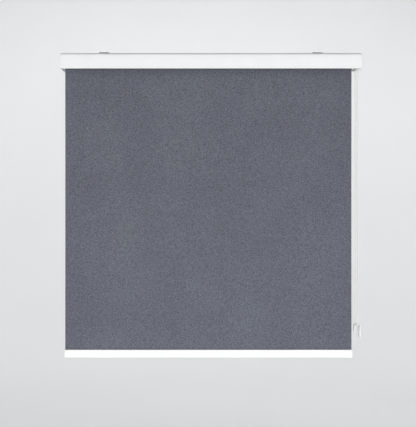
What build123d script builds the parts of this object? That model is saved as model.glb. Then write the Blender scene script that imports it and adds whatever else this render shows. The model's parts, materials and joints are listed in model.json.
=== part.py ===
from build123d import *

import math
import os

# Chain-operated roller blind in a small cassette, fabric fully down.
# Millimetres. +X is towards the chain side, -Y is the room side, +Z is up.
# The origin is the centre of the four ceiling screws, on the ceiling.
# Lengths run along X, so most sections are drawn in the YZ plane.

# ---- driving dimensions ------------------------------------------------------
WIDTH = 840.0              # over the two end caps
DROP = 855.0               # cassette top to bottom bar's lower edge
CASSETTE_H = 44.0
CASSETTE_D = 46.0
BACK_Y = 13.0              # back of the cassette, from the screw line
BRACKET_GAP = 6.0          # ceiling to cassette top
CORNER_R = 10.0            # rounded top front edge of the cassette
WALL = 1.4                 # headrail wall
SKIN = 1.2                 # fascia and moulded walls
CAP_T = 3.0                # end cap plate

TUBE_R = 14.0
TUBE_WALL = 1.2
FABRIC_T = 0.4
SAFETY_TURNS = 1.5         # turns left on the tube when the blind is down
FABRIC_LEFT = -412.0
FABRIC_RIGHT = 399.0

BAR_H = 22.0
BAR_D = 9.0
BAR_CAP_T = 1.6

BEAD_R = 2.25
BEAD_PITCH = 6.0
WHEEL_BEADS = 13
CHAIN_X = 409.8
CHAIN_BOTTOM = 762.1       # cassette top to the chain's lowest run
CONNECTOR_DOWN = 636.7     # cassette top to the connector's middle

BRACKET_X = 300.0          # brackets, left and right of the middle
RUN_FIT = 0.06             # radial clearance of turning and sliding fits

# ---- places worked out from them ---------------------------------------------
FRONT_Y = BACK_Y - CASSETTE_D
TOP_Z = -BRACKET_GAP
BOTTOM_Z = TOP_Z - CASSETTE_H
END_X = WIDTH / 2
CAP_IN_X = END_X - CAP_T

ROLL_R = TUBE_R + SAFETY_TURNS * FABRIC_T
AXIS_Y = -11.5
AXIS_Z = -26.4
FABRIC_Y = AXIS_Y + ROLL_R - FABRIC_T / 2
TUBE_LEFT = FABRIC_LEFT - 1.2
TUBE_RIGHT = FABRIC_RIGHT + 3.6

BAR_BOTTOM = TOP_Z - DROP
BAR_TOP = BAR_BOTTOM + BAR_H
BAR_LEFT = FABRIC_LEFT - 0.2
BAR_RIGHT = FABRIC_RIGHT + 0.2

WHEEL_R = BEAD_PITCH / (2 * math.sin(math.pi / WHEEL_BEADS))
FRONT_STRAND_Y = AXIS_Y - WHEEL_R
REAR_STRAND_Y = AXIS_Y + WHEEL_R
CHAIN_BOTTOM_Z = TOP_Z - CHAIN_BOTTOM
CHAIN_BEND_R = 5.2


# ---- helpers -----------------------------------------------------------------
def slab(y0, y1, z0, z1):
    """Rectangle between two corners, in the plane of a section."""
    return Pos((y0 + y1) / 2, (z0 + z1) / 2) * Rectangle(abs(y1 - y0), abs(z1 - z0))


def disc(y, z, radius):
    return Pos(y, z) * Circle(radius)


def along_x(section, x0, x1):
    """Push a YZ section from x0 to x1."""
    return extrude(Plane.YZ.offset(x0) * section, amount=x1 - x0)


def along_y(section, y0, y1):
    """Push an XZ section from y0 to y1."""
    return extrude(Plane.XZ.offset(-y0) * section, amount=y0 - y1)


def along_z(section, z0, z1):
    return extrude(Plane.XY.offset(z0) * section, amount=z1 - z0)


def drum(x0, x1, radius, bore=0.0):
    """Cylinder or sleeve on the roller's axis."""
    section = disc(AXIS_Y, AXIS_Z, radius)
    if bore:
        section -= disc(AXIS_Y, AXIS_Z, bore)
    return along_x(section, x0, x1)


def about_axis(count, section, start=0.0):
    """Copies of a section drawn for an axis at (0, 0), turned about the roller's axis."""
    copies = [
        Pos(AXIS_Y, AXIS_Z) * Rot(0, 0, start + 360 * i / count) * section for i in range(count)
    ]
    return Sketch() + copies


def ball(x, y, z, radius):
    return Pos(x, y, z) * Sphere(radius)


# ---- cassette ----------------------------------------------------------------
FASCIA_LIP = 4.0           # return at the fascia's lower edge
FLANGE_END_Y = -14.2       # back edge of the fascia's top flange
SHELF_T = 1.0              # headrail's inner shelf, which the fascia hooks over
SHELF_FRONT_Y = -26.0
NIB_T = 1.0
NIB_H = 3.8
REAR_LIP = 6.4
HOOK_Y = -23.6             # back face of the fascia's inner hook
HOOK_Z = (-12.6, -9.2)
HOOK_T = 1.1
RAIL_OUT = 13.0            # half width of the bracket channel
RAIL_T = 1.2
LIP_IN = 7.0               # half of the channel's mouth
LIP_TOP = -2.9
LIP_T = 1.0
LIP_STOP = 2.0             # height of the ridge on the fascia's lip
BOSS_R = 2.9
BOSS_HOLE_R = 1.45
SCREW_YZ = [(9.0, -10.1), (9.0, -42.0)]
PEG_YZ = (-30.5, -39.0)    # moulded peg of the cap, in its socket on the fascia
PEG_R = 0.95
PEG_LEN = 7.0
STAY_LEN = 5.0             # tongue of the cap behind the fascia
STAY_Z = (-34.0, -16.0)


def cassette_outline(inset):
    """Outer line of the cassette, moved in by inset."""
    front, back = FRONT_Y + inset, BACK_Y - inset
    top, bottom = TOP_Z - inset, BOTTOM_Z + inset
    radius = CORNER_R - inset
    sides = Polyline(
        (front, top - radius), (front, bottom), (back, bottom), (back, top), (front + radius, top)
    )
    corner = CenterArc((front + radius, top - radius), radius, 90, 90)
    return make_face(sides + corner)


def make_headrail():
    top_wall = slab(FLANGE_END_Y + 0.2, BACK_Y, TOP_Z - WALL, TOP_Z)
    back_wall = slab(BACK_Y - WALL, BACK_Y, BOTTOM_Z, TOP_Z)
    rear_lip = slab(BACK_Y - REAR_LIP, BACK_Y, BOTTOM_Z, BOTTOM_Z + SKIN)
    shelf_z = TOP_Z - WALL
    shelf = slab(SHELF_FRONT_Y, FLANGE_END_Y + WALL, shelf_z - SHELF_T, shelf_z)
    nib = slab(SHELF_FRONT_Y, SHELF_FRONT_Y + NIB_T, shelf_z - NIB_H, shelf_z)
    hook = (shelf + nib) & cassette_outline(SKIN + 0.2)
    section = top_wall + back_wall + rear_lip + hook
    for side in (-1, 1):
        section += slab(side * (RAIL_OUT - RAIL_T), side * RAIL_OUT, TOP_Z, LIP_TOP)
        section += slab(side * LIP_IN, side * RAIL_OUT, LIP_TOP - LIP_T, LIP_TOP)
    for y, z in SCREW_YZ:
        section += disc(y, z, BOSS_R)
    for y, z in SCREW_YZ:
        section -= disc(y, z, BOSS_HOLE_R)
    return along_x(section, -CAP_IN_X, CAP_IN_X)


def make_fascia():
    shell = cassette_outline(0) - cassette_outline(SKIN)
    half_z = (TOP_Z + BOTTOM_Z) / 2
    lip_end = FRONT_Y + FASCIA_LIP
    zone = slab(FRONT_Y, FLANGE_END_Y, half_z, TOP_Z) + slab(FRONT_Y, lip_end, BOTTOM_Z, half_z)
    section = shell & zone
    section += slab(FRONT_Y + SKIN / 2, HOOK_Y, HOOK_Z[0], HOOK_Z[0] + 1)
    section += slab(HOOK_Y - HOOK_T, HOOK_Y, *HOOK_Z)
    section += slab(lip_end - SKIN, lip_end, BOTTOM_Z, BOTTOM_Z + LIP_STOP)
    peg_y, peg_z = PEG_YZ
    section += disc(peg_y, peg_z, 2 * PEG_R)
    section -= disc(peg_y, peg_z, PEG_R + 0.1)
    return along_x(section, -CAP_IN_X, CAP_IN_X)


HEAD_R = 3.1
SHANK_R = 1.4
SCREW_LEN = 13.0
HEAD_H = 1.9
CROSS_HALF = 1.7
CROSS_ARM = 0.35
CROSS_DEEP = 1.0
HEAD_ROOM = 0.2            # radial room round a screw in the cap


def countersunk_screw(y, z):
    """Screw pointing along -X with its head's top at x = 0."""
    head = Pos(-HEAD_H / 2, y, z) * Rot(0, 90, 0) * Cone(SHANK_R, HEAD_R, HEAD_H)
    shank = along_x(disc(y, z, SHANK_R), -SCREW_LEN, -HEAD_H)
    cross = slab(y - CROSS_HALF, y + CROSS_HALF, z - CROSS_ARM, z + CROSS_ARM)
    cross += slab(y - CROSS_ARM, y + CROSS_ARM, z - CROSS_HALF, z + CROSS_HALF)
    return head + shank - along_x(cross, -CROSS_DEEP, 1)


def make_end_cap():
    """Right-hand cap, outer face at the blind's end."""
    plate = along_x(cassette_outline(0), CAP_IN_X, END_X)
    plate = fillet(plate.faces().sort_by(Axis.X)[-1].edges(), 0.9)
    for y, z in SCREW_YZ:
        plate -= along_x(disc(y, z, SHANK_R + HEAD_ROOM), CAP_IN_X - 1, END_X + 1)
        sink = Cone(SHANK_R + HEAD_ROOM, HEAD_R + HEAD_ROOM, HEAD_H)
        plate -= Pos(END_X - HEAD_H / 2, y, z) * Rot(0, 90, 0) * sink
    peg_y, peg_z = PEG_YZ
    peg = along_x(disc(peg_y, peg_z, PEG_R), CAP_IN_X - PEG_LEN, CAP_IN_X)
    stay = slab(FRONT_Y + SKIN + 0.3, FRONT_Y + SKIN + 1.4, *STAY_Z)
    return plate + peg + along_x(stay, CAP_IN_X - STAY_LEN, CAP_IN_X)


def mirrored(shape):
    """The same piece at the other end of the blind."""
    return mirror(shape, about=Plane.YZ)


# ---- brackets ----------------------------------------------------------------
PLATE_T = 1.5
PLATE_SIZE = 28.0
HOLE_R = 2.2
HOLE_Y = 9.0
LEVER_TOP = -1.7
LEVER_T = 1.0
CAM_TOP = -4.1
CAM_T = 1.5
PIVOT_R = 2.0
SINK_OUT = 0.8             # how far a countersink widens its hole
RIB_X = 10.5               # stiffening ribs pressed into the plate
RIB_LEN = 18.0
CAM_SIZE = (22.4, 12.0)
NECK_R = 4.5
HANDLE_SIZE = (27.0, 8.0)
HANDLE_X = 9.5


def make_bracket_plate(x):
    plate = along_z(Pos(x, 0) * RectangleRounded(PLATE_SIZE, PLATE_SIZE, 3), -PLATE_T, 0)
    for side in (-1, 1):
        plate -= along_z(Pos(x, side * HOLE_Y) * Circle(HOLE_R), -PLATE_T - 1, 1)
        sink = Cone(HOLE_R + SINK_OUT, HOLE_R, SINK_OUT)
        plate -= Pos(x, side * HOLE_Y, -PLATE_T + SINK_OUT / 2) * sink
        plate += Pos(x + side * RIB_X, 0, -PLATE_T) * Box(1.2, RIB_LEN, 0.3)
    return plate - along_z(Pos(x, 0) * Circle(PIVOT_R + RUN_FIT), -PLATE_T - 1, 1)


def make_bracket_lever(x, hand):
    """Swivel cam, locked across the channel; hand is the side its handle points to."""
    cam = along_z(Pos(x, 0) * SlotOverall(*CAM_SIZE, rotation=90), CAM_TOP - CAM_T, CAM_TOP)
    neck = along_z(Pos(x, 0) * Circle(NECK_R), CAM_TOP, LEVER_TOP - LEVER_T)
    handle = Pos(x + hand * HANDLE_X, 0) * SlotOverall(*HANDLE_SIZE)
    arm = along_z(handle, LEVER_TOP - LEVER_T, LEVER_TOP)
    pivot = along_z(Pos(x, 0) * Circle(PIVOT_R), LEVER_TOP, -0.1)
    return cam + neck + arm + pivot


# ---- chain drive -------------------------------------------------------------
SHROUD_R = 16.8
GUARD_X0 = 407.0
GUARD_X1 = 415.6
GUARD_BOTTOM = BOTTOM_Z + 0.2
SPOUT_BOTTOM = BOTTOM_Z - 1.0
SPOUT_HALF = 3.4
SPOUT_CORNER = 1.6
CHAIN_HOLE_R = 2.9
SPINDLE_R = 4.5
SPINDLE_END = 379.2
HUB_R = 7.0
SPRING_X0 = 383.6
SPRING_X1 = 395.6
CROWN_R = 12.3
RIB_R = 12.7
FLANGE_R = 14.4
HEX_R = 5.0
SOCKET_DEPTH = 2.0
PILOT_R = 1.9              # screw hole in the spindle's end
PILOT_DEEP = 12.0
WHEEL_FLANGE = 0.9         # side wall of the sprocket's groove
HUB_WALL = 0.9


def make_drive_housing():
    lower = slab(AXIS_Y - SHROUD_R, AXIS_Y + SHROUD_R, GUARD_BOTTOM, AXIS_Z)
    inner_r = SHROUD_R - SKIN
    hollow = disc(AXIS_Y, AXIS_Z, inner_r)
    hollow += slab(AXIS_Y - inner_r, AXIS_Y + inner_r, GUARD_BOTTOM + SKIN, AXIS_Z)
    outside = disc(AXIS_Y, AXIS_Z, SHROUD_R) + lower
    guard = along_x(outside - hollow, GUARD_X0, GUARD_X1)
    back = along_x(outside, GUARD_X1, CAP_IN_X)
    spout = Pos(CHAIN_X, REAR_STRAND_Y) * RectangleRounded(2 * SPOUT_HALF, 2 * SPOUT_HALF, SPOUT_CORNER)
    guard += along_z(spout, SPOUT_BOTTOM, GUARD_BOTTOM + SKIN)
    for y in (FRONT_STRAND_Y, REAR_STRAND_Y):
        way = Pos(CHAIN_X, y) * Circle(CHAIN_HOLE_R)
        guard -= along_z(way, SPOUT_BOTTOM - 1, GUARD_BOTTOM + 2 * SKIN)
    spindle = drum(SPINDLE_END, GUARD_X1, SPINDLE_R)
    hexagon = Pos(AXIS_Y, AXIS_Z) * RegularPolygon(HEX_R, 6)
    key = along_x(hexagon, CAP_IN_X, CAP_IN_X + SOCKET_DEPTH)
    housing = guard + back + spindle + key
    return housing - drum(SPINDLE_END - 1, SPINDLE_END + PILOT_DEEP, PILOT_R)


def make_right_end_cap():
    socket = Pos(AXIS_Y, AXIS_Z) * RegularPolygon(HEX_R, 6)
    return make_end_cap() - along_x(socket, CAP_IN_X - 1, CAP_IN_X + SOCKET_DEPTH)


def make_chain_wheel():
    """Sprocket with a round groove and one pocket per bead, and the hub that drives the springs."""
    groove_r = BEAD_R + 0.3
    half = groove_r + WHEEL_FLANGE
    wheel = drum(CHAIN_X - half, CHAIN_X + half, WHEEL_R + 0.8)
    ring = Pos(CHAIN_X, AXIS_Y, AXIS_Z) * Rot(0, 90, 0) * Torus(WHEEL_R, groove_r)
    wheel -= ring
    for i in range(WHEEL_BEADS):
        turn = 2 * math.pi * i / WHEEL_BEADS
        y = AXIS_Y + WHEEL_R * math.cos(turn)
        z = AXIS_Z + WHEEL_R * math.sin(turn)
        wheel -= ball(CHAIN_X, y, z, BEAD_R + 0.65)
    hub = drum(SPRING_X1 + 0.4, CHAIN_X - half, HUB_R)
    sleeve = drum(SPRING_X0 - 0.2, SPRING_X1 + 0.4, HUB_R, HUB_R - HUB_WALL)
    window = Pos(SPRING_X0 + 5, AXIS_Y, AXIS_Z + HUB_R) * Box(11, 3, 3)
    wheel = wheel + hub + (sleeve - window)
    return wheel - drum(SPRING_X1, CHAIN_X + half + 1, SPINDLE_R + RUN_FIT)


def ringed_sleeve(x0, x1, inner, outer, coils):
    """Spring drawn as a sleeve with one round ridge per coil, about the roller's axis."""
    wire_r = (outer - inner) / 2
    middle = (outer + inner) / 2
    step = (x1 - x0) / coils
    core = drum(x0 + wire_r, x1 - wire_r, middle + wire_r / 3, middle - wire_r / 3)
    for i in range(coils):
        x = x0 + step * (i + 0.5)
        core += Pos(x, AXIS_Y, AXIS_Z) * Rot(0, 90, 0) * Torus(middle, wire_r)
    return core


def make_wrap_springs():
    middle = (SPRING_X0 + SPRING_X1) / 2
    inner, outer = SPINDLE_R + RUN_FIT, HUB_R - 1.1
    return [
        ringed_sleeve(SPRING_X0, middle - 0.2, inner, outer, 5),
        ringed_sleeve(middle + 0.2, SPRING_X1, inner, outer, 5),
    ]


GROOVE_HALF = 3.2          # half width of the tube's key groove, outside
GROOVE_FLOOR = 9.8         # distance of its floor from the axis


def ribbed_plug(x0, x1):
    """Plug body that grips the tube's bore, with a slot for the tube's key groove."""
    section = disc(AXIS_Y, AXIS_Z, CROWN_R)
    section += about_axis(12, slab(RIB_R - 1.2, RIB_R, -0.6, 0.6), 15)
    slot = slab(-GROOVE_HALF - 0.3, GROOVE_HALF + 0.3, GROOVE_FLOOR - 0.5, RIB_R + 1)
    section -= Pos(AXIS_Y, AXIS_Z) * slot
    return along_x(section, x0, x1)


def make_drive_crown():
    flange = drum(TUBE_RIGHT, TUBE_RIGHT + 2, FLANGE_R)
    wall_x = SPRING_X0 - 1.2
    crown = ribbed_plug(wall_x - 2.5, TUBE_RIGHT) + flange
    crown -= drum(wall_x, TUBE_RIGHT + 3, HUB_R + RUN_FIT)
    return crown - drum(wall_x - 4, wall_x + 1, SPINDLE_R + RUN_FIT)


WASHER_R = 7.5
WASHER_T = 1.2
PAN_HEAD_R = 3.8
PAN_HEAD_H = 2.4
RETAINER_LEN = 10.0


def make_retaining_washer():
    return drum(SPINDLE_END - WASHER_T, SPINDLE_END, WASHER_R, PILOT_R + 0.2)


def make_retaining_screw():
    under_head = SPINDLE_END - WASHER_T
    head = drum(under_head - PAN_HEAD_H, under_head, PAN_HEAD_R)
    head = fillet(head.faces().sort_by(Axis.X)[0].edges(), 1.0)
    cross = slab(-2, 2, -0.4, 0.4) + slab(-0.4, 0.4, -2, 2)
    recess = along_x(Pos(AXIS_Y, AXIS_Z) * cross, under_head - 3, under_head - 1)
    return head + drum(under_head, SPINDLE_END + RETAINER_LEN, PILOT_R - 0.05) - recess


# ---- roller ------------------------------------------------------------------
KEY_SLOT_HALF = 1.0
KEY_T = 1.4                # strip welded to the fabric's edge, in the tube's groove


def make_roller_tube():
    section = disc(0, 0, TUBE_R) - disc(0, 0, TUBE_R - TUBE_WALL)
    groove = slab(-GROOVE_HALF, GROOVE_HALF, GROOVE_FLOOR, TUBE_R - TUBE_WALL / 2)
    section += groove & disc(0, 0, TUBE_R)
    section -= slab(-GROOVE_HALF + 1, GROOVE_HALF - 1, GROOVE_FLOOR + 1, TUBE_R - TUBE_WALL)
    section -= slab(-KEY_SLOT_HALF, KEY_SLOT_HALF, TUBE_R - TUBE_WALL - 1, TUBE_R + 1)
    return along_x(Pos(AXIS_Y, AXIS_Z) * section, TUBE_LEFT, TUBE_RIGHT)


def make_fabric_key():
    strip = slab(-GROOVE_HALF + 1.2, GROOVE_HALF - 1.2, GROOVE_FLOOR + 1.1, GROOVE_FLOOR + 1.1 + KEY_T)
    tail = slab(-FABRIC_T / 2, FABRIC_T / 2, GROOVE_FLOOR + 1 + KEY_T, TUBE_R - 0.05)
    return along_x(Pos(AXIS_Y, AXIS_Z) * (strip + tail), FABRIC_LEFT, FABRIC_RIGHT)


def make_fabric_roll():
    return drum(FABRIC_LEFT, FABRIC_RIGHT, ROLL_R, TUBE_R)


IDLE_PIN_R = 3.0
COLLAR_R = 5.4
CHAMBER_R = 5.6
BUSH_R = 5.2
BUSH_X0 = -END_X + 1.0
IDLE_END = -384.0
CHAMBER_LEFT = -410.0
CHAMBER_RIGHT = -388.0
TAIL_R = 2.1
TAIL_X = (-404.0, -382.0)
COLLAR_T = 2.4
IDLE_SPRING_COILS = 7


def make_left_end_cap():
    return mirrored(make_end_cap()) - drum(BUSH_X0, -CAP_IN_X + 1, BUSH_R + 0.02)


def make_idle_bush():
    bush = drum(BUSH_X0, -CAP_IN_X + 1.6, BUSH_R, IDLE_PIN_R + RUN_FIT)
    return bush + drum(BUSH_X0, BUSH_X0 + 0.3, BUSH_R)


def make_idle_plug():
    plug = ribbed_plug(TUBE_LEFT, IDLE_END) + drum(TUBE_LEFT - 1.6, TUBE_LEFT, FLANGE_R)
    plug -= drum(TUBE_LEFT - 3, CHAMBER_LEFT + 1, IDLE_PIN_R + RUN_FIT)
    plug -= drum(CHAMBER_LEFT, CHAMBER_RIGHT, CHAMBER_R)
    return plug - drum(CHAMBER_RIGHT - 1, IDLE_END + 1, TAIL_R + RUN_FIT)


def make_idle_pin():
    tip = drum(BUSH_X0 + 0.5, TAIL_X[0], IDLE_PIN_R)
    tip = fillet(tip.faces().sort_by(Axis.X)[0].edges(), 0.8)
    collar = drum(CHAMBER_LEFT + 0.2, CHAMBER_LEFT + 0.2 + COLLAR_T, COLLAR_R)
    return tip + collar + drum(*TAIL_X, TAIL_R)


def make_idle_spring():
    left, right = CHAMBER_LEFT + COLLAR_T + 0.4, CHAMBER_RIGHT - 0.2
    return ringed_sleeve(left, right, IDLE_PIN_R + 0.3, CHAMBER_R - 0.3, IDLE_SPRING_COILS)


# ---- fabric and bottom bar ---------------------------------------------------
FABRIC_TOP = AXIS_Z - 4.0  # just below where the sheet leaves the roll
SLOT_HALF = 0.8
SLOT_DEPTH = 3.2
POCKET_HALF = 2.6
POCKET_H = 3.4
BAR_WALL = 1.3
BAR_CORNER = 2.0
POCKET_DOWN = 1.6          # bar's top to the hem pocket
POCKET_FLOOR = 1.1
PLUG_LEN = 9.0             # tongue of the bar's cap


def make_fabric_drop():
    half = FABRIC_T / 2
    sheet = slab(FABRIC_Y - half, FABRIC_Y + half, BAR_TOP - SLOT_DEPTH - 0.3, FABRIC_TOP)
    return along_x(sheet, FABRIC_LEFT, FABRIC_RIGHT)


def bar_outline(inset, radius):
    height, depth = BAR_H - 2 * inset, BAR_D - 2 * inset
    return Pos(FABRIC_Y, (BAR_TOP + BAR_BOTTOM) / 2) * RectangleRounded(depth, height, radius)


def make_bar_profile():
    pocket_top = BAR_TOP - POCKET_DOWN
    pocket_bottom = pocket_top - POCKET_H
    floor_z = pocket_bottom - POCKET_FLOOR
    floor = slab(FABRIC_Y - BAR_D / 2 + 0.5, FABRIC_Y + BAR_D / 2 - 0.5, floor_z, BAR_TOP)
    section = bar_outline(0, BAR_CORNER) - bar_outline(BAR_WALL, 1.0)
    section += floor & bar_outline(0, BAR_CORNER)
    section -= slab(FABRIC_Y - POCKET_HALF, FABRIC_Y + POCKET_HALF, pocket_bottom, pocket_top)
    section -= slab(FABRIC_Y - SLOT_HALF, FABRIC_Y + SLOT_HALF, pocket_bottom + 1, BAR_TOP + 1)
    return along_x(section, BAR_LEFT, BAR_RIGHT)


def make_bar_batten():
    pocket_bottom = BAR_TOP - POCKET_DOWN - POCKET_H
    strip = slab(FABRIC_Y - 2.3, FABRIC_Y + 2.3, pocket_bottom + 0.1, pocket_bottom + 1.3)
    return along_x(strip, BAR_LEFT + 0.5, BAR_RIGHT - 0.5)


def make_bar_cap(x, hand):
    """Moulded end of the bottom bar, hand is the side it faces."""
    outer = x + hand * BAR_CAP_T
    plate = along_x(bar_outline(0, BAR_CORNER), min(x, outer), max(x, outer))
    face = plate.faces().sort_by(Axis.X)[-1 if hand > 0 else 0]
    plate = fillet(face.edges(), 1.2)
    inner = x - hand * PLUG_LEN
    lower = slab(FABRIC_Y - 2.4, FABRIC_Y + 2.4, BAR_BOTTOM + 2.2, BAR_TOP - 8.0)
    return plate + along_x(lower, min(x, inner), max(x, inner))


# ---- chain -------------------------------------------------------------------
CONNECTOR_R = 3.3
CONNECTOR_H = 7.0


def quarter_bend(y, turn):
    """Quarter ring from a strand to the bottom run; turn is +1 at the front, -1 at the rear."""
    centre_z = CHAIN_BOTTOM_Z + CHAIN_BEND_R
    axis = Axis((CHAIN_X, y + turn * CHAIN_BEND_R, centre_z), (1, 0, 0))
    section = Pos(CHAIN_X, y, centre_z) * Circle(BEAD_R)
    return revolve(section, axis, 90 * turn)


def make_bead_chain():
    """Plain tube along the whole loop, as thick as its beads."""
    straight_end = CHAIN_BOTTOM_Z + CHAIN_BEND_R
    chain = Part()
    for y in (FRONT_STRAND_Y, REAR_STRAND_Y):
        chain += along_z(Pos(CHAIN_X, y) * Circle(BEAD_R), straight_end, AXIS_Z)
    chain += quarter_bend(FRONT_STRAND_Y, 1)
    chain += quarter_bend(REAR_STRAND_Y, -1)
    run = Pos(CHAIN_X, CHAIN_BOTTOM_Z) * Circle(BEAD_R)
    chain += along_y(run, FRONT_STRAND_Y + CHAIN_BEND_R, REAR_STRAND_Y - CHAIN_BEND_R)
    over_axis = Axis((CHAIN_X, AXIS_Y, AXIS_Z), (1, 0, 0))
    chain += revolve(Pos(CHAIN_X, REAR_STRAND_Y, AXIS_Z) * Circle(BEAD_R), over_axis, 180)
    return chain


def make_chain_connector():
    z = TOP_Z - CONNECTOR_DOWN
    place = Pos(CHAIN_X, REAR_STRAND_Y)
    barrel = along_z(place * Circle(CONNECTOR_R), z - CONNECTOR_H / 2, z + CONNECTOR_H / 2)
    barrel = fillet(barrel.edges().filter_by(GeomType.CIRCLE), 1.6)
    hole = along_z(place * Circle(BEAD_R + 0.3), z - CONNECTOR_H, z + CONNECTOR_H)
    return barrel - hole


# ---- chain clip on the reveal ------------------------------------------------
CLIP_PLATE_T = 2.4
CLIP_WALL = 1.5
CLIP_SLOT = 3.8            # gap between the bowl and the plate
CLIP_BOWL_X = 402.2
CLIP_BOWL_Y = (-15.0, -4.4)
CLIP_BOWL_H = 23.0
CLIP_TOP = CHAIN_BOTTOM_Z + BEAD_R + 0.15 + CLIP_WALL
CLIP_MOUTH = 5.2
BOWL_R = 5.5
CLIP_PLATE_Y = (-15.0, 9.0)
CLIP_PLATE_H = 37.0
CLIP_HOLE_R = 1.9
CLIP_HOLE_Y = 1.0
CLIP_HOLE_TOP = CLIP_TOP - 9.2
CLIP_HOLE_GAP = 22.0
CLIP_SINK = 1.2            # countersink's depth and widening


def rounded_frame(x0, x1, z0, z1, radius):
    return Pos((x0 + x1) / 2, (z0 + z1) / 2) * RectangleRounded(x1 - x0, z1 - z0, radius)


def make_clip_bowl():
    """Rounded hoop round the chain's lowest run, open at its upper right, with a strap to the plate."""
    lip_x = END_X - CLIP_PLATE_T - CLIP_SLOT
    bottom = CLIP_TOP - CLIP_BOWL_H
    under_top = CLIP_TOP - CLIP_WALL
    bowl = rounded_frame(CLIP_BOWL_X, lip_x, bottom, CLIP_TOP, BOWL_R)
    inside_x = (CLIP_BOWL_X + CLIP_WALL, lip_x - CLIP_WALL)
    bowl -= rounded_frame(*inside_x, bottom + CLIP_WALL, under_top, BOWL_R - CLIP_WALL)
    bowl -= slab(lip_x - BOWL_R, lip_x + 1, under_top - CLIP_MOUTH, CLIP_TOP + 1)
    bowl += slab(lip_x - BOWL_R, END_X - 0.5, under_top, CLIP_TOP)
    return along_y(bowl, *CLIP_BOWL_Y)


def make_chain_clip():
    """P-shaped clip: a wall plate with two countersunk holes, and the bowl the chain runs through."""
    y0, y1 = CLIP_PLATE_Y
    plate_x = END_X - CLIP_PLATE_T
    outline = RectangleRounded(y1 - y0, CLIP_PLATE_H, 3)
    plate_yz = Pos((y0 + y1) / 2, CLIP_TOP - CLIP_PLATE_H / 2) * outline
    clip = make_clip_bowl() + along_x(plate_yz, plate_x, END_X)
    for z in (CLIP_HOLE_TOP, CLIP_HOLE_TOP - CLIP_HOLE_GAP):
        clip -= along_x(disc(CLIP_HOLE_Y, z, CLIP_HOLE_R), plate_x - 1, END_X + 1)
        sink = Cone(CLIP_HOLE_R + CLIP_SINK, CLIP_HOLE_R, CLIP_SINK)
        clip -= Pos(plate_x + CLIP_SINK / 2, CLIP_HOLE_Y, z) * Rot(0, 90, 0) * sink
    return clip


# ---- nodes -------------------------------------------------------------------
def make_screws():
    screws = [Pos(END_X, 0, 0) * countersunk_screw(y, z) for y, z in SCREW_YZ]
    return screws + [mirrored(screw) for screw in screws]


NODES = {
    "headrail": make_headrail(),
    "front_fascia": make_fascia(),
    "end_cap_left": make_left_end_cap(),
    "end_cap_right": make_right_end_cap(),
    "end_cap_screws": make_screws(),
    "bracket_plate_left": make_bracket_plate(-BRACKET_X),
    "bracket_plate_right": make_bracket_plate(BRACKET_X),
    "bracket_lever_left": make_bracket_lever(-BRACKET_X, 1),
    "bracket_lever_right": make_bracket_lever(BRACKET_X, -1),
    "drive_housing": make_drive_housing(),
    "chain_wheel": make_chain_wheel(),
    "wrap_springs": make_wrap_springs(),
    "drive_crown": make_drive_crown(),
    "retaining_washer": make_retaining_washer(),
    "retaining_screw": make_retaining_screw(),
    "roller_tube": make_roller_tube(),
    "fabric_key": make_fabric_key(),
    "fabric_roll": make_fabric_roll(),
    "fabric_drop": make_fabric_drop(),
    "idle_bush": make_idle_bush(),
    "idle_plug": make_idle_plug(),
    "idle_pin": make_idle_pin(),
    "idle_spring": make_idle_spring(),
    "bar_profile": make_bar_profile(),
    "bar_batten": make_bar_batten(),
    "bar_cap_left": make_bar_cap(BAR_LEFT, -1),
    "bar_cap_right": make_bar_cap(BAR_RIGHT, 1),
    "bead_chain": make_bead_chain(),
    "chain_connector": make_chain_connector(),
    "chain_clip": make_chain_clip(),
}

os.makedirs("parts", exist_ok=True)
for name, shape in NODES.items():
    solids = shape if isinstance(shape, list) else shape.solids()
    whole = Compound(children=list(solids)) if len(solids) > 1 else solids[0]
    export_step(whole, f"parts/{name}.step")
    print(name, len(solids), round(sum(s.volume for s in solids), 1))
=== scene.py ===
import json
import math

import bmesh
import bpy
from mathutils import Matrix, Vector


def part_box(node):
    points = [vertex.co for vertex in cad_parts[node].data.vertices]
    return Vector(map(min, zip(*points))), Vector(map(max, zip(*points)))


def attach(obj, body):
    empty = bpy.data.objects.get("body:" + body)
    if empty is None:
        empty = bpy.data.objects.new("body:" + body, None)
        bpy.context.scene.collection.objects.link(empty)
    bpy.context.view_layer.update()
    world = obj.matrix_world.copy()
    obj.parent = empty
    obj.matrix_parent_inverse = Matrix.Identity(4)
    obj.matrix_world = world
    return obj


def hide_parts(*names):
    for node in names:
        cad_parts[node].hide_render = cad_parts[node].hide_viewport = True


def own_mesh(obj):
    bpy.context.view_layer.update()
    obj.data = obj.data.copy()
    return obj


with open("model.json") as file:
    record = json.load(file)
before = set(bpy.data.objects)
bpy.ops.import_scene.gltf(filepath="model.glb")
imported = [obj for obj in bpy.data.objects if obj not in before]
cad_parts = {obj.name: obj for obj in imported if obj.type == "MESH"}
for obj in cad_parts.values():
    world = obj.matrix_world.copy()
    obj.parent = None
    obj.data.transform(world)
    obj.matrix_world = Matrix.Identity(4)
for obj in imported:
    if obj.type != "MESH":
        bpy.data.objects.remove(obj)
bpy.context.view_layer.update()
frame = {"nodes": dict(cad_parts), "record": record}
NODES = frame["nodes"]
MM = 0.001


# ---- places taken from the frame ---------------------------------------------
fascia_low, fascia_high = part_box("front_fascia")
roll_low, roll_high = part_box("fabric_roll")
drop_low, drop_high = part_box("fabric_drop")
chain_low, chain_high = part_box("bead_chain")
springs_low, springs_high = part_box("wrap_springs")
idle_low, idle_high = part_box("idle_spring")

AXIS_Y = (roll_low.y + roll_high.y) / 2
AXIS_Z = (roll_low.z + roll_high.z) / 2
ROLL_R = (roll_high.y - roll_low.y) / 2
SHEET_T = drop_high.y - drop_low.y

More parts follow.
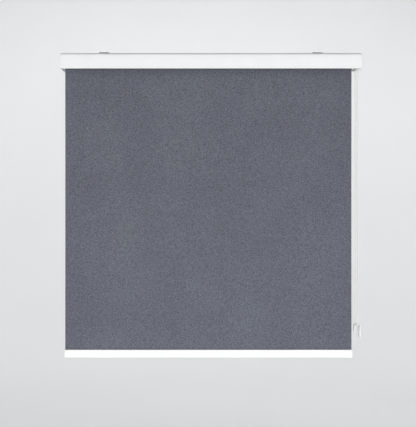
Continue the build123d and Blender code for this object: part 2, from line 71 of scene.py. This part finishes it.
BEAD_R = (chain_high.x - chain_low.x) / 2
BEAD_PITCH = 6.0 * MM
CHAIN_X = (chain_low.x + chain_high.x) / 2
STRAND_R = (chain_high.y - chain_low.y) / 2 - BEAD_R
FRONT_Y = AXIS_Y - STRAND_R
REAR_Y = AXIS_Y + STRAND_R
RUN_Z = chain_low.z + BEAD_R


# ---- camera and room -----------------------------------------------------------
FOCAL_SHARE = 1.6           # focal length over the sensor's width
SHIFT_X = 0.0562            # the view's centre stands right of the optical axis, in sensor widths
SHIFT_Y = 0.0222            # and above it
CAMERA_DISTANCE = 1.9       # to the cassette's front
CAMERA_X = -75.5 * MM
CAMERA_DROP = 474.3 * MM    # below the cassette's top
SENSOR = 36.0


def make_camera():
    data = bpy.data.cameras.new("camera")
    data.sensor_width = SENSOR
    data.lens = FOCAL_SHARE * SENSOR
    data.shift_x = SHIFT_X
    data.shift_y = SHIFT_Y
    camera = bpy.data.objects.new("camera", data)
    bpy.context.scene.collection.objects.link(camera)
    camera.location = (CAMERA_X, fascia_low.y - CAMERA_DISTANCE, fascia_high.z - CAMERA_DROP)
    camera.rotation_euler = (math.radians(90), 0, 0)
    bpy.context.scene.camera = camera


def area_light(name, place, target, size, power):
    data = bpy.data.lights.new(name, "AREA")
    data.shape = "RECTANGLE"
    data.size, data.size_y = size
    data.energy = power
    light = bpy.data.objects.new(name, data)
    bpy.context.scene.collection.objects.link(light)
    light.location = place
    light.rotation_euler = (Vector(target) - Vector(place)).to_track_quat("-Z", "Y").to_euler()
    light.visible_camera = False


WALL_R = 4.6
WALL_TOP = 5.0
WALL_BEND = 1.6             # radius of the bend between floor and wall
FLOOR_Z = -1.65
WASH_R = 2.2                # where the lights that brighten the wall stand
WASH_Z = 1.6
WASH_AIM_Z = -1.2
WASH_POWERS = (38, 34, 29, 27)      # back, right, front, left


def make_lights():
    world = bpy.data.worlds.new("studio")
    bpy.context.scene.world = world
    world.use_nodes = True
    background = world.node_tree.nodes["Background"]
    background.inputs["Color"].default_value = (0.95, 0.955, 0.965, 1)
    background.inputs["Strength"].default_value = 0.145
    middle = (0, 0, -0.4)
    area_light("key", (1.3, -3.4, -0.75), middle, (2.2, 1.0), 25)
    area_light("fill", (-1.7, -3.3, -0.65), middle, (2.0, 1.2), 15.5)
    area_light("under", (0.0, -2.0, -1.4), (0, 0, -0.1), (2.4, 0.3), 14.5)
    for i, power in enumerate(WASH_POWERS):
        turn = math.pi / 2 * i
        side = Vector((math.sin(turn), math.cos(turn), 0))
        place = side * WASH_R + Vector((0, 0, WASH_Z))
        target = side * WALL_R + Vector((0, 0, WASH_AIM_Z))
        area_light(f"wall_wash_{i}", place, target, (3.0, 1.2), power)


def make_floor():
    """Pale round floor that turns up into a wall in one soft bend all round."""
    around = 96
    profile = [(0.02, FLOOR_Z), (1.5, FLOOR_Z)]
    for i in range(25):
        turn = math.pi / 2 * i / 24
        out = WALL_R - WALL_BEND + WALL_BEND * math.sin(turn)
        profile.append((out, FLOOR_Z + WALL_BEND - WALL_BEND * math.cos(turn)))
    profile.append((WALL_R, WALL_TOP))
    mesh = bpy.data.meshes.new("studio_floor")
    turns = [2 * math.pi * k / around for k in range(around)]
    verts = [(r * math.cos(t), r * math.sin(t), z) for r, z in profile for t in turns]
    faces = [tuple(range(around))]
    for i in range(len(profile) - 1):
        for k in range(around):
            a, b = i * around + k, i * around + (k + 1) % around
            faces.append((a, a + around, b + around, b))
    mesh.from_pydata(verts, [], faces)
    mesh.shade_smooth()
    floor = bpy.data.objects.new("studio_floor", mesh)
    bpy.context.scene.collection.objects.link(floor)
    mesh.materials.append(floor_material())


# ---- material helpers ----------------------------------------------------------
class Shader:
    """One material and short ways to add nodes to it. Lengths in its patterns are in millimetres."""

    def __init__(self, name, **values):
        self.material = bpy.data.materials.new(name)
        self.material.use_nodes = True
        self.tree = self.material.node_tree
        self.bsdf = self.tree.nodes["Principled BSDF"]
        for key, value in values.items():
            self.bsdf.inputs[key.replace("_", " ")].default_value = value
        place = self.tree.nodes.new("ShaderNodeTexCoord")
        self.place = self.node("ShaderNodeVectorMath", "Vector", operation="SCALE")
        self.tree.links.new(place.outputs["Object"], self.place.node.inputs[0])
        self.place.node.inputs["Scale"].default_value = 1000.0

    def node(self, kind, output, inputs=None, **settings):
        made = self.tree.nodes.new(kind)
        for key, value in settings.items():
            setattr(made, key, value)
        for key, value in (inputs or {}).items():
            self.feed(value, made.inputs[key])
        return made.outputs[output]

    def feed(self, value, socket):
        if isinstance(value, bpy.types.NodeSocket):
            self.tree.links.new(value, socket)
        else:
            socket.default_value = value

    def math(self, operation, a, b=0.0, c=0.0):
        return self.node("ShaderNodeMath", "Value", {0: a, 1: b, 2: c}, operation=operation)

    def stretched(self, x=1.0, y=1.0, z=1.0, turn=(0.0, 0.0, 0.0)):
        """The place, turned and with each axis multiplied, for grain that runs one way."""
        inputs = {"Vector": self.place, "Scale": (x, y, z), "Rotation": turn}
        return self.node("ShaderNodeMapping", "Vector", inputs)

    def noise(self, size, detail=2.0, rough=0.5, vector=None):
        """Cloudy noise, about 0.5 on average, with features of the given size."""
        inputs = {"Scale": 1.0 / size, "Detail": detail, "Roughness": rough}
        inputs["Vector"] = vector or self.place
        return self.node("ShaderNodeTexNoise", "Fac", inputs)

    def cells(self, size, vector=None, output="Distance"):
        inputs = {"Scale": 1.0 / size, "Vector": vector or self.place}
        return self.node("ShaderNodeTexVoronoi", output, inputs)

    def spread(self, value, low, high, to_low=0.0, to_high=1.0):
        keys = ("Value", "From Min", "From Max", "To Min", "To Max")
        inputs = dict(zip(keys, (value, low, high, to_low, to_high)))
        return self.node("ShaderNodeMapRange", "Result", inputs)

    def blend(self, factor, first, second):
        keys = ("Fac", "Color1", "Color2")
        inputs = dict(zip(keys, (factor, first, second)))
        return self.node("ShaderNodeMixRGB", "Color", inputs)

    def colour(self, value):
        self.feed(value, self.bsdf.inputs["Base Color"])

    def roughness(self, value):
        self.feed(value, self.bsdf.inputs["Roughness"])

    def bump(self, height, depth, strength=1.0, after=None):
        """Relief of the given depth in millimetres, on top of another relief."""
        inputs = {"Height": height, "Distance": depth * MM, "Strength": strength}
        if after is not None:
            inputs["Normal"] = after
        made = self.node("ShaderNodeBump", "Normal", inputs)
        self.feed(made, self.bsdf.inputs["Normal"])
        return made


def rgb(red, green, blue):
    return (red, green, blue, 1.0)


# ---- materials -------------------------------------------------------------------
def floor_material():
    s = Shader("pale_floor", Roughness=0.85)
    tone = s.spread(s.noise(900, 3), 0.3, 0.7)
    s.colour(s.blend(tone, rgb(0.87, 0.875, 0.88), rgb(0.89, 0.895, 0.90)))
    return s.material


THREAD = 0.62               # pitch of the cloth's threads, mm


def cloth_material():
    """Tightly woven blue-grey yarn with uneven threads, soft sheen and a pebbled face."""
    s = Shader("blackout_cloth", Sheen_Weight=0.18, Sheen_Roughness=0.45)
    s.bsdf.inputs["Specular IOR Level"].default_value = 0.25
    split = s.node("ShaderNodeSeparateXYZ", "X", {"Vector": s.place})
    z = split.node.outputs["Z"]
    wander = s.math("MULTIPLY", s.noise(5.0, 2), 1.1)
    across = s.math("ADD", split, wander)
    down = s.math("ADD", z, wander)
    warp = s.math("SINE", s.math("MULTIPLY", across, 2 * math.pi / THREAD))
    weft = s.math("SINE", s.math("MULTIPLY", down, 2 * math.pi / THREAD))
    twill = s.math("SINE", s.math("MULTIPLY", s.math("ADD", across, down), math.pi / THREAD))
    over = s.spread(s.math("MULTIPLY", warp, weft), -0.4, 0.4)
    relief = s.math("ADD", s.math("MULTIPLY", over, 0.6), s.math("MULTIPLY", twill, 0.25))
    tilted = s.stretched(turn=(0.7, 0.4, 0.3))
    pebble = s.spread(s.noise(2.2, 1.5, 0.5, tilted), 0.38, 0.62)
    slant = s.noise(1.0, 2, vector=s.stretched(0.55, 0.5, 0.25, (0.5, 0.65, 0.3)))
    slub = s.noise(1.0, 2, vector=s.stretched(0.05, 1.0, 0.8))
    tone = s.math("MULTIPLY", pebble, 0.55)
    for part, share in ((s.spread(slant, 0.35, 0.65), 0.25), (slub, 0.1), (over, 0.1)):
        tone = s.math("ADD", tone, s.math("MULTIPLY", part, share))
    yarn = s.blend(tone, rgb(0.046, 0.0515, 0.069), rgb(0.196, 0.202, 0.239))
    cloud = s.blend(s.spread(s.noise(160), 0.3, 0.7), rgb(0.94, 0.93, 0.95), rgb(1.04, 1.06, 1.05))
    s.colour(s.node("ShaderNodeVectorMath", "Vector", {0: yarn, 1: cloud}, operation="MULTIPLY"))
    s.roughness(s.spread(pebble, 0, 1, 0.94, 0.8))
    fine = s.bump(relief, 0.09, 0.7)
    s.bump(pebble, 0.12, 0.5, after=fine)
    return s.material


def cloth_back_material():
    """Coated back of the cloth: the same colour, closed by a thin acrylic foam."""
    s = Shader("blackout_coating", Sheen_Weight=0.08)
    s.bsdf.inputs["Specular IOR Level"].default_value = 0.35
    grain = s.noise(1.1, 3, 0.65)
    streak = s.noise(1.0, 2, vector=s.stretched(0.02, 1.0, 0.35))
    tone = s.math("ADD", s.math("MULTIPLY", grain, 0.6), s.math("MULTIPLY", streak, 0.4))
    s.colour(s.blend(s.spread(tone, 0.3, 0.7), rgb(0.135, 0.143, 0.168), rgb(0.19, 0.2, 0.228)))
    s.roughness(s.spread(grain, 0.3, 0.7, 0.62, 0.8))
    s.bump(grain, 0.12, 0.6)
    return s.material


def powder_coat_material():
    """White powder coat on aluminium: faint orange peel and a little dust."""
    s = Shader("white_powder_coat", Coat_Weight=0.12, Coat_Roughness=0.3)
    peel = s.noise(1.6, 2, 0.4)
    dust = s.noise(45, 4, 0.6)
    along = s.noise(1.0, 2, vector=s.stretched(0.004, 0.6, 0.6))
    tone = s.math("ADD", s.math("MULTIPLY", dust, 0.6), s.math("MULTIPLY", along, 0.4))
    s.colour(s.blend(s.spread(tone, 0.3, 0.7), rgb(0.845, 0.85, 0.85), rgb(0.885, 0.89, 0.888)))
    s.roughness(s.spread(dust, 0.3, 0.7, 0.34, 0.46))
    s.bump(peel, 0.03, 0.35)
    return s.material


def moulding_material(name, low, high, rough=(0.42, 0.55)):
    """Injection-moulded plastic with a fine eroded texture and slight flow marks."""
    s = Shader(name)
    s.bsdf.inputs["IOR"].default_value = 1.49
    grain = s.noise(0.35, 3, 0.6)
    flow = s.noise(14, 3, 0.6, vector=s.stretched(1.0, 1.0, 0.4))
    s.colour(s.blend(s.spread(flow, 0.3, 0.7), low, high))
    s.roughness(s.spread(grain, 0.3, 0.7, *rough))
    s.bump(grain, 0.02, 0.5)
    return s.material


def bead_material():
    """Glossy white acetal beads whose tone changes slightly along the chain."""
    s = Shader("white_beads", Subsurface_Weight=0.12, Coat_Weight=0.25, Coat_Roughness=0.12)
    s.bsdf.inputs["Subsurface Radius"].default_value = (0.002, 0.0018, 0.0015)
    each = s.cells(6.0, output="Color")
    tint = s.node("ShaderNodeSeparateColor", "Red", {"Color": each})
    grime = s.noise(1.4, 3, 0.6)
    tone = s.math("ADD", s.math("MULTIPLY", tint, 0.5), s.math("MULTIPLY", grime, 0.5))
    s.colour(s.blend(tone, rgb(0.80, 0.79, 0.765), rgb(0.89, 0.885, 0.87)))
    s.roughness(s.spread(grime, 0.3, 0.7, 0.24, 0.36))
    s.bump(grime, 0.03, 0.3)
    return s.material


def metal_material(name, low, high, rough, grain=(0.02, 1.0, 1.0), relief=0.01):
    """Bare metal with drawing or rolling lines along its first axis."""
    s = Shader(name, Metallic=1.0)
    lines = s.noise(0.25, 3, 0.7, vector=s.stretched(*grain))
    cloud = s.noise(9, 3, 0.6)
    s.colour(s.blend(s.spread(cloud, 0.3, 0.7), low, high))
    mixed = s.math("ADD", s.math("MULTIPLY", lines, 0.6), s.math("MULTIPLY", cloud, 0.4))
    s.roughness(s.spread(mixed, 0.3, 0.7, *rough))
    s.bump(lines, relief, 0.5)
    return s.material


def zinc_material():
    """Zinc plate: pale, slightly blue, with faint spangles."""
    s = Shader("zinc_plate", Metallic=1.0)
    spangle = s.node("ShaderNodeSeparateColor", "Red", {"Color": s.cells(2.2, output="Color")})
    fine = s.noise(0.4, 3, 0.6)
    s.colour(s.blend(spangle, rgb(0.60, 0.62, 0.65), rgb(0.74, 0.75, 0.76)))
    s.roughness(s.spread(s.math("ADD", fine, spangle), 0.3, 1.7, 0.24, 0.42))
    s.bump(fine, 0.01, 0.5)
    return s.material


def strip_material():
    """Stiff milky plastic strip."""
    s = Shader("milky_strip", Subsurface_Weight=0.2)
    s.bsdf.inputs["Subsurface Radius"].default_value = (0.001, 0.001, 0.001)
    lines = s.noise(0.5, 2, vector=s.stretched(0.01, 1.0, 1.0))
    s.colour(s.blend(lines, rgb(0.70, 0.70, 0.67), rgb(0.82, 0.82, 0.80)))
    s.roughness(s.spread(lines, 0.3, 0.7, 0.35, 0.5))
    s.bump(lines, 0.02, 0.4)
    return s.material


MATERIALS = {
    "cloth": cloth_material(),
    "cloth_back": cloth_back_material(),
    "white_profile": powder_coat_material(),
    "white_moulding": moulding_material(
        "white_moulding", rgb(0.84, 0.84, 0.83), rgb(0.89, 0.89, 0.885)
    ),
    "grey_moulding": moulding_material(
        "grey_acetal", rgb(0.42, 0.43, 0.44), rgb(0.50, 0.51, 0.52), (0.36, 0.48)
    ),
    "chain": bead_material(),
    "bare_aluminium": metal_material(
        "mill_aluminium", rgb(0.74, 0.75, 0.77), rgb(0.82, 0.83, 0.84), (0.3, 0.45)
    ),
    "bracket_steel": zinc_material(),
    "spring_steel": metal_material(
        "spring_steel", rgb(0.30, 0.31, 0.33), rgb(0.42, 0.43, 0.45), (0.25, 0.4), (1, 1, 1)
    ),
    "batten": strip_material(),
}


# ---- mesh helpers ------------------------------------------------------------------
def add_piece(name, mesh, body, slot_name, *materials):
    piece = bpy.data.objects.new(name, mesh)
    bpy.context.scene.collection.objects.link(piece)
    for material in materials:
        mesh.materials.append(MATERIALS[material])
    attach(piece, body)
    return piece


def spline_points(points):
    """Points read from a smooth NURBS line through the route's control points."""
    curve = bpy.data.curves.new("route", "CURVE")
    curve.dimensions = "3D"
    curve.resolution_u = 24
    spline = curve.splines.new("NURBS")
    spline.points.add(len(points) - 1)
    for place, point in zip(points, spline.points):
        point.co = (*place, 1.0)
    spline.order_u = 3
    spline.use_endpoint_u = True
    holder = bpy.data.objects.new("route", curve)
    line = [v.co.copy() for v in bpy.data.meshes.new_from_object(holder).vertices]
    bpy.data.objects.remove(holder)
    bpy.data.curves.remove(curve)
    return line


def at_spacing(line, spacing, start=0.0):
    """(place, direction) at even steps along a line of points."""
    found, gone, wanted = [], 0.0, start
    for a, b in zip(line, line[1:]):
        step = (b - a).length
        while step > 0 and wanted <= gone + step:
            found.append((a.lerp(b, (wanted - gone) / step), (b - a).normalized()))
            wanted += spacing
        gone += step
    return found


def sweep_tube(target, line, radius, sides=8):
    """Adds a round tube along a line of points to a bmesh, turned without twist."""
    up = Vector((1, 0, 0))
    rings = []
    for i, place in enumerate(line):
        ahead = line[min(i + 1, len(line) - 1)] - line[max(i - 1, 0)]
        along = ahead.normalized()
        up = (up - along * up.dot(along)).normalized()
        side = along.cross(up)
        turns = [2 * math.pi * k / sides for k in range(sides)]
        rings.append(
            [target.verts.new(place + radius * (math.cos(t) * up + math.sin(t) * side)) for t in turns]
        )
    for lower, upper in zip(rings, rings[1:]):
        for k in range(sides):
            after = (k + 1) % sides
            target.faces.new((lower[k], lower[after], upper[after], upper[k]))
    target.faces.new(list(reversed(rings[0])))
    target.faces.new(rings[-1])


def finish_mesh(target, name):
    bmesh.ops.recalc_face_normals(target, faces=target.faces)
    mesh = bpy.data.meshes.new(name)
    target.to_mesh(mesh)
    target.free()
    mesh.shade_smooth()
    return mesh


# ---- chain ---------------------------------------------------------------------------
CHAIN_TOP = AXIS_Z + STRAND_R
CLIP_BEND = 3.2 * MM        # how far the chain's lower corners are cut
CLIP_RUN = 27 * MM          # height above the lowest point where the strands run straight
CHAIN_ROUTE = [
    (CHAIN_X, AXIS_Y, CHAIN_TOP),
    (CHAIN_X, FRONT_Y, CHAIN_TOP),
    (CHAIN_X, FRONT_Y, AXIS_Z - STRAND_R),
    (CHAIN_X, FRONT_Y, RUN_Z + CLIP_RUN),
    (CHAIN_X, FRONT_Y, RUN_Z + CLIP_BEND),
    (CHAIN_X, FRONT_Y + CLIP_BEND, RUN_Z),
    (CHAIN_X, REAR_Y - CLIP_BEND, RUN_Z),
    (CHAIN_X, REAR_Y, RUN_Z + CLIP_BEND),
    (CHAIN_X, REAR_Y, RUN_Z + CLIP_RUN),
    (CHAIN_X, REAR_Y, AXIS_Z - STRAND_R),
    (CHAIN_X, REAR_Y, CHAIN_TOP),
    (CHAIN_X, AXIS_Y, CHAIN_TOP),
]
THREAD_R = 0.6 * MM


def add_bead(target, place, along):
    """One moulded bead: nearly round, flattened a little where the thread enters it."""
    turn = along.to_track_quat("Z", "X").to_matrix().to_4x4()
    sides, rows = 12, 8
    fullness, flattening = 0.92, 0.98
    rings = []
    for i in range(1, rows):
        lift = math.pi * i / rows
        radius = BEAD_R * math.sin(lift) ** fullness
        height = -BEAD_R * flattening * math.cos(lift)
        ring = []
        for k in range(sides):
            t = 2 * math.pi * k / sides
            local = Vector((radius * math.cos(t), radius * math.sin(t), height))
            ring.append(target.verts.new(place + turn @ local))
        rings.append(ring)
    for lower, upper in zip(rings, rings[1:]):
        for k in range(sides):
            after = (k + 1) % sides
            target.faces.new((lower[k], lower[after], upper[after], upper[k]))
    target.faces.new(list(reversed(rings[0])))
    target.faces.new(rings[-1])


def make_chain():
    line = spline_points(CHAIN_ROUTE)
    target = bmesh.new()
    for place, along in at_spacing(line, BEAD_PITCH, BEAD_PITCH / 2):
        add_bead(target, place, along)
    thread = [place for place, _ in at_spacing(line, BEAD_PITCH / 2)]
    sweep_tube(target, thread, THREAD_R, sides=6)
    chain = add_piece("bead_chain_beads", finish_mesh(target, "bead_chain_beads"), "root", "chain", "chain")
    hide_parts("bead_chain")


# ---- cloth -----------------------------------------------------------------------------
SHEET_TOP = AXIS_Z


def cloth_depth(x_share, z_share):
    """How far the hanging cloth stands from flat, in metres: slack waves and a soft curl at its edges."""
    hang = math.sin(math.pi * min(1.0, z_share * 1.02))
    wave = 0.45 * math.sin(2.3 * math.pi * x_share + 0.6) + 0.3 * math.sin(5.1 * math.pi * x_share + 2.0)
    wave += 0.2 * math.sin(3.0 * math.pi * z_share + 4.0 * x_share)
    edge = math.exp(-x_share * 38) + math.exp(-(1 - x_share) * 38)
    return (wave * 0.9 + edge * 1.1) * hang * MM


def make_sheet():
    """The hanging cloth: one thin sheet from the roll down into the bar's slot."""
    columns, rows = 120, 120
    left, right, bottom = drop_low.x, drop_high.x, drop_low.z
    target = bmesh.new()
    sides = []
    for face_y in (drop_low.y, drop_high.y):
        grid = []
        for j in range(rows + 1):
            z_share = j / rows
            z = SHEET_TOP + (bottom - SHEET_TOP) * z_share
            row = []
            for i in range(columns + 1):
                x_share = i / columns
                y = face_y + cloth_depth(x_share, z_share)
                row.append(target.verts.new((left + (right - left) * x_share, y, z)))
            grid.append(row)
        sides.append(grid)
    front, back = sides
    for j in range(rows):
        for i in range(columns):
            face = (front[j][i], front[j + 1][i], front[j + 1][i + 1], front[j][i + 1])
            target.faces.new(face).material_index = 0
            face = (back[j][i], back[j][i + 1], back[j + 1][i + 1], back[j + 1][i])
            target.faces.new(face).material_index = 1
    for j in range(rows):
        target.faces.new((front[j][0], back[j][0], back[j + 1][0], front[j + 1][0]))
        target.faces.new((front[j][-1], front[j + 1][-1], back[j + 1][-1], back[j][-1]))
    for i in range(columns):
        target.faces.new((front[0][i], front[0][i + 1], back[0][i + 1], back[0][i]))
        target.faces.new((front[-1][i], back[-1][i], back[-1][i + 1], front[-1][i + 1]))
    mesh = finish_mesh(target, "hanging_cloth")
    mesh.set_sharp_from_angle(angle=math.radians(50))
    sheet = add_piece("hanging_cloth", mesh, "root", "fabric", "cloth", "cloth_back")
    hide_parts("fabric_drop")
    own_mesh(sheet)


def make_roll():
    """Turns of cloth on the tube, wound as one spiral strip that ends where the sheet leaves it."""
    turns = 1.5
    steps = 96              # in each turn
    tube_gap = 0.03 * MM
    thick = SHEET_T * 0.97
    inner = ROLL_R - turns * SHEET_T
    left, right = roll_low.x, roll_high.x
    target = bmesh.new()
    rings = []
    for i in range(int(steps * turns) + 1):
        share = i / steps
        angle = 2 * math.pi * (share - turns)
        low = inner + tube_gap + SHEET_T * max(0.0, share - 0.5)
        corners = []
        for x in (left, right):
            for radius in (low, low + thick):
                y = AXIS_Y + radius * math.cos(angle)
                z = AXIS_Z + radius * math.sin(angle)
                corners.append(target.verts.new((x, y, z)))
        rings.append(corners)
    for a, b in zip(rings, rings[1:]):
        for index, (p, q) in enumerate(((0, 1), (1, 3), (3, 2), (2, 0))):
            face = target.faces.new((a[p], a[q], b[q], b[p]))
            face.material_index = 1 if index == 1 else 0
    target.faces.new([rings[0][k] for k in (0, 1, 3, 2)])
    target.faces.new([rings[-1][k] for k in (0, 2, 3, 1)])
    mesh = finish_mesh(target, "wound_cloth")
    mesh.set_sharp_from_angle(angle=math.radians(50))
    roll = add_piece("wound_cloth", mesh, "roller", "fabric", "cloth", "cloth_back")
    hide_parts("fabric_roll")
    return roll


# ---- springs ---------------------------------------------------------------------------
def helix(x0, x1, radius, turns, per_turn=20):
    """Points of a coil about the roller's axis, with its last half turn closed up at each end."""
    points = []
    total = int(turns * per_turn)
    for i in range(total + 1):
        share = i / total
        closed = 0.5 / turns
        run = min(1.0, max(0.0, (share - closed) / (1 - 2 * closed)))
        angle = 2 * math.pi * turns * share
        y = AXIS_Y + radius * math.cos(angle)
        z = AXIS_Z + radius * math.sin(angle)
        points.append(Vector((x0 + (x1 - x0) * run, y, z)))
    return points


def make_coil(name, x0, x1, radius, wire, turns, body, node):
    target = bmesh.new()
    sweep_tube(target, helix(x0 + wire, x1 - wire, radius, turns), wire, sides=8)
    coil = add_piece(name, finish_mesh(target, name), body, "spring_steel", "spring_steel")
    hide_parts(node)
    return coil


def make_springs():
    wrap_inset, wrap_wire = 0.65 * MM, 0.42 * MM
    idle_inset, idle_wire = 0.8 * MM, 0.5 * MM
    middle = (springs_low.x + springs_high.x) / 2
    radius = (springs_high.y - springs_low.y) / 2 - wrap_inset
    for name, x0, x1 in (
        ("wrap_spring_inner", springs_low.x, middle - 0.2 * MM),
        ("wrap_spring_outer", middle + 0.2 * MM, springs_high.x),
    ):
        make_coil(name, x0, x1, radius, wrap_wire, 6, "chain_wheel", "wrap_springs")
    radius = (idle_high.y - idle_low.y) / 2 - idle_inset
    coil = make_coil("idle_coil", idle_low.x, idle_high.x, radius, idle_wire, 8, "roller", "idle_spring")
    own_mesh(coil)


# ---- finishes on the CAD pieces -----------------------------------------------------------
def dress_nodes():
    """Gives every CAD piece the material of its slot."""
    slots = {row["node"]: row["material_slot"] for row in frame["record"]["subparts"]}
    for name, node in NODES.items():
        slot_name = slots[name]
        material = MATERIALS["cloth" if slot_name == "fabric" else slot_name]
        node.data.materials.clear()
        node.data.materials.append(material)


def main():
    bpy.context.scene.view_settings.view_transform = "Standard"
    make_camera()
    make_chain()
    make_lights()
    make_floor()
    dress_nodes()
    roll = make_roll()
    make_sheet()
    make_springs()


main()
